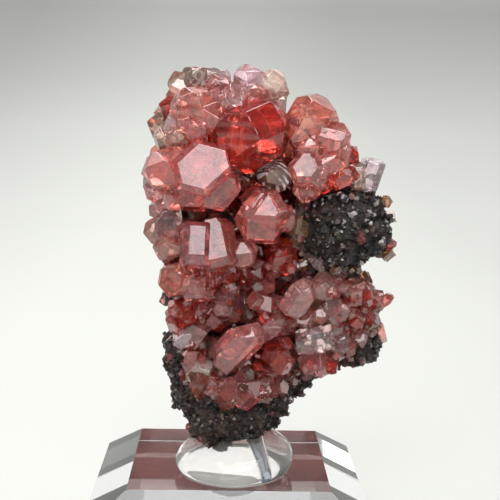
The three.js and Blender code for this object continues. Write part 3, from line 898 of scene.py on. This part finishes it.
def build_felt():
    """The felt under the block, with a frayed edge."""
    low, high = node_box("base_felt")
    high.z += FELT_PILE
    bm = bmesh.new()
    bmesh.ops.create_cube(bm, size=2)
    for level, cuts in ((False, 4), (True, 80)):
        edges = [e for e in bm.edges if (abs(e.verts[0].co.z - e.verts[1].co.z) < 1e-6) == level]
        bmesh.ops.subdivide_edges(bm, edges=edges, cuts=cuts, use_grid_fill=True)
    middle, half = (low + high) / 2, (high - low) / 2
    for vert in bm.verts:
        share = vert.co.copy()
        vert.co = middle + share * half
        out = Vector([c if abs(c) > 0.999 else 0 for c in share.xy] + [0])
        vert.co -= out * FELT_FRAY * (0.5 + noise.noise(vert.co * 3.1) * 0.8)
    felt = mesh_object("red_felt", bm)
    shader = Shader("red_felt")
    nap = shader.noise(2600, detail=4, rough=0.7)
    reds = shader.ramp(nap, (0.3, (0.12, 0.016, 0.015)), (0.7, (0.30, 0.050, 0.046)))
    shader.link(reds, "Base Color")
    shader.set(Roughness=1.0, Specular_IOR_Level=0.05, Sheen_Weight=0.05, Sheen_Roughness=0.6)
    shader.bump(nap, 0.5, 0.0003)
    felt.data.materials.append(shader.material)
    return finish_piece(felt, ["base_felt"])


GEL_TONE = (1.0, 0.985, 0.96)
PAD_HEIGHT = 4.8
PAD_SINK = 0.28  # the soft gel settles onto the block
# Shares of the pad's radius: how far in from its rim it is rounded above, and tucked in below.
PAD_ROUND = 0.42
PAD_TUCK = 0.26
# Shares of its height: how far the squeezed gel sinks at the front, and stands up on the right.
PAD_FRONT_DROP = 0.40
PAD_RIGHT_RISE = 0.25
PAD_TURNS = 40  # steps up its side, and round it
PAD_SIDES = 96
SOCKET_SHARE = 0.92  # the gel meets the rock just under its broken surface
CHANNEL_PAINTED_SHADE = (0.30, 0.36, 0.46)  # the air channel's wall, tinted dark blue-grey: painted shade in the hole
CHANNEL_TOP = Vector((2.9, -4.6, 15.9))
CHANNEL_MOUTH = Vector((4.3, -11.9, 13.5))
CHANNEL_RADII = (0.55, 0.95)


def build_pad():
    """The uncut pad: a turned cushion, wavy round its rim and leaning to the front."""
    low, high = node_box("gel_pad")
    centre = (low + high) / 2
    radius = (high.x - low.x) / 2
    low.z -= PAD_SINK
    height = PAD_HEIGHT + PAD_SINK
    outline = [(0, 0)]
    for i in range(PAD_TURNS + 1):
        angle = -math.pi / 2 + math.pi * i / PAD_TURNS
        inset = PAD_ROUND if angle > 0 else PAD_TUCK
        outline.append((1 - inset + inset * math.cos(angle), 0.5 + 0.5 * math.sin(angle)))
    outline.append((0, 1.0))
    bm = bmesh.new()
    rings = []
    for share, up in outline:
        if share == 0:
            rings.append([bm.verts.new((centre.x, centre.y, low.z + up * height))])
            continue
        ring = []
        for i in range(PAD_SIDES):
            angle = 2 * math.pi * i / PAD_SIDES
            wave = 1 + 0.012 * math.sin(3 * angle + 1) + 0.008 * math.sin(7 * angle)
            r = radius * share * wave
            x, y = math.cos(angle), math.sin(angle)
            lean = 1 + share * (PAD_FRONT_DROP * (y - 1) + PAD_RIGHT_RISE * (x - 1)) / 2
            ring.append(bm.verts.new((centre.x + r * x, centre.y + r * y, low.z + up * height * lean)))
        rings.append(ring)
    for below, above in zip(rings, rings[1:]):
        for i in range(PAD_SIDES):
            j = (i + 1) % PAD_SIDES
            if len(below) == 1:
                bm.faces.new((below[0], above[j], above[i]))
            elif len(above) == 1:
                bm.faces.new((below[i], below[j], above[0]))
            else:
                bm.faces.new((below[i], below[j], above[j], above[i]))
    bmesh.ops.recalc_face_normals(bm, faces=bm.faces[:])
    return mesh_object("pad", bm)


def build_gel():
    """The pad with the rock's socket and the air channel cut from it."""
    pad = build_pad()
    bm = bmesh.new()
    for at, radii in ROCK_LUMPS[:3]:
        made = bmesh.ops.create_icosphere(bm, subdivisions=4, radius=SOCKET_SHARE)
        for vert in made["verts"]:
            vert.co = Vector(at) + Vector(c * r for c, r in zip(vert.co, radii))
    socket = mesh_object("socket", bm)
    pad = combined(pad, [socket], "clear_gel", "DIFFERENCE")
    along = CHANNEL_TOP - CHANNEL_MOUTH
    turn = Vector((0, 0, 1)).rotation_difference(along).to_matrix().to_4x4()
    place = Matrix.Translation((CHANNEL_TOP + CHANNEL_MOUTH) / 2) @ turn
    narrow, wide = CHANNEL_RADII
    bm = bmesh.new()
    bmesh.ops.create_cone(bm, cap_ends=True, segments=32, radius1=narrow, radius2=wide,
                          depth=along.length, matrix=place)
    hole = mesh_object("channel", bm)
    paint(pad, GEL_TONE)
    # The channel's wall gets painted shade: a dark blue-grey tone, so the hole reads as a dark streak.
    paint(hole, CHANNEL_PAINTED_SHADE)
    pad = combined(pad, [hole], "clear_gel", "DIFFERENCE")
    gel = clear_material("clear_gel", 1.22, 0.02, (0.99, 0.98, 0.96), 3, 120, clear=0.88, toned=True)
    pad.data.materials.clear()
    pad.data.materials.append(gel)
    for face in pad.data.polygons:
        face.use_smooth = True
        face.material_index = 0
    pad.data.set_sharp_from_angle(angle=math.radians(32))
    return finish_piece(pad, ["gel_pad"])


# ---- Studio ------------------------------------------------------------------------------------

def build_stage():
    """A pale sweep: flat under the stand, then rising slowly behind it."""
    width, start, radius, steps = 2.0, 0.25, 1.4, 24
    profile = [(-1.5, 0), (start, 0)]
    for i in range(1, steps + 1):
        angle = math.pi / 2 * i / steps
        profile.append((start + radius * math.sin(angle), radius * (1 - math.cos(angle))))
    bm = bmesh.new()
    left = [bm.verts.new((-width, y, z)) for y, z in profile]
    right = [bm.verts.new((width, y, z)) for y, z in profile]
    for i in range(len(profile) - 1):
        bm.faces.new((left[i], right[i], right[i + 1], left[i + 1]))
    floor = mesh_object("floor", bm)
    for face in floor.data.polygons:
        face.use_smooth = True
    # Painted shade on the paper: it is darker close by, far to the sides and halfway up behind, and lighter
    # high up behind, as the light falls on it.
    paper = Shader("paper")
    fibres = paper.noise(3, detail=1)
    tint = paper.ramp(fibres, (0.3, (0.62, 0.63, 0.595)), (0.7, (0.65, 0.66, 0.625)))
    back = paper.math("MULTIPLY", paper.along("Y"), 0.7)
    depth = paper.ramp(back, (0.0, 0.86), (0.27, 1.0), (0.40, 1.0), (0.60, 0.75), (0.76, 1.2))
    across = paper.math("ADD", paper.along("X"), 0.5)
    width = paper.ramp(across, (0.33, 0.80), (0.45, 1.0), (0.51, 1.0), (0.60, 0.87))
    # The two ramps together are the painted shade laid over the paper's own tint.
    shade = paper.mix(1.0, depth, width, "MULTIPLY")
    paper.link(paper.mix(1.0, tint, shade, "MULTIPLY"), "Base Color")
    paper.set(Roughness=0.9)
    floor.data.materials.append(paper.material)


def soft_light(name, place, target, size, radiance, colour=(1, 1, 1)):
    """A plain rectangular softbox of this brightness."""
    light = bpy.data.lights.new(name, "AREA")
    light.shape = "RECTANGLE"
    light.size, light.size_y = size
    light.energy = radiance * math.pi * size[0] * size[1]
    light.color = colour
    made = link(name, light)
    made.location = place
    made.rotation_euler = (Vector(target) - Vector(place)).to_track_quat("-Z", "Y").to_euler()


def build_lights():
    world = bpy.data.worlds.new("studio")
    scene.world = world
    world.use_nodes = True
    world.node_tree.nodes["Background"].inputs["Color"].default_value = (0.93, 0.92, 0.90, 1)
    world.node_tree.nodes["Background"].inputs["Strength"].default_value = 0.16
    middle = (0, 0, 0.036)
    soft_light("window", (-0.10, -0.57, 0.47), middle, (0.55, 0.38), 4.5, (0.97, 0.97, 1))
    soft_light("overhead", (0, 0.05, 0.85), middle, (0.66, 0.66), 6.4)
    soft_light("fill", (0.30, -0.50, 0.12), middle, (0.35, 0.25), 1.5)
    soft_light("back", (0, 0.95, 0.64), middle, (2.0, 0.55), 0.9)
    soft_light("right", (0.60, -0.05, 0.25), middle, (0.3, 0.4), 1.9, (1, 0.98, 0.95))
    soft_light("left", (-0.55, -0.18, 0.34), middle, (0.35, 0.4), 3.0, (1, 0.98, 0.96))


CAMERA_PLACE = (-0.00099, -0.1243, 0.0543)
CAMERA_PITCH = 0.133  # down, in radians, as are the yaw to the right and the roll
CAMERA_YAW = -0.024
CAMERA_ROLL = 0.021
CAMERA_LENS = 77.85


def build_camera():
    """A long lens a little above the specimen, looking slightly down at it."""
    camera = bpy.data.cameras.new("camera")
    camera.lens = CAMERA_LENS
    camera.sensor_width = 36
    camera.clip_start = 0.005
    made = link("camera", camera)
    pitch, yaw, roll = CAMERA_PITCH, CAMERA_YAW, CAMERA_ROLL
    level = Vector((math.cos(yaw), math.sin(yaw), 0))
    ahead = Vector((-math.sin(yaw), math.cos(yaw), 0))
    forward = ahead * math.cos(pitch) - Vector((0, 0, math.sin(pitch)))
    upright = level.cross(forward)
    right = level * math.cos(roll) + upright * math.sin(roll)
    up = upright * math.cos(roll) - level * math.sin(roll)
    turn = Matrix((right, up, -forward)).transposed().to_4x4()
    made.matrix_world = Matrix.Translation(CAMERA_PLACE) @ turn
    scene.camera = made


# ---- Everything --------------------------------------------------------------------------------

build_camera()
build_lights()
build_stage()
rock = build_rock()
clusters = {name: build_cluster(name, rows) for name, rows in CLUSTERS.items()}
sprinkled = [clusters[n] for n in SPRINKLED]
build_druse(rock, sprinkled, 1060, 220)
build_grains(rock, 2600)
for name, cluster in clusters.items():
    finish_piece(parted(cluster, red_rows(CLUSTERS[name])), [name])
build_toned("clear_crystals", CLEAR_TONES, CLEAR_CRYSTAL)
build_toned("pale_crystals", PALE_TONES, PALE_CRYSTAL)
build_gel()
finish_piece(rock, ["matrix_rock"])
dress_block()
build_felt()

scene.view_settings.view_transform = "Standard"
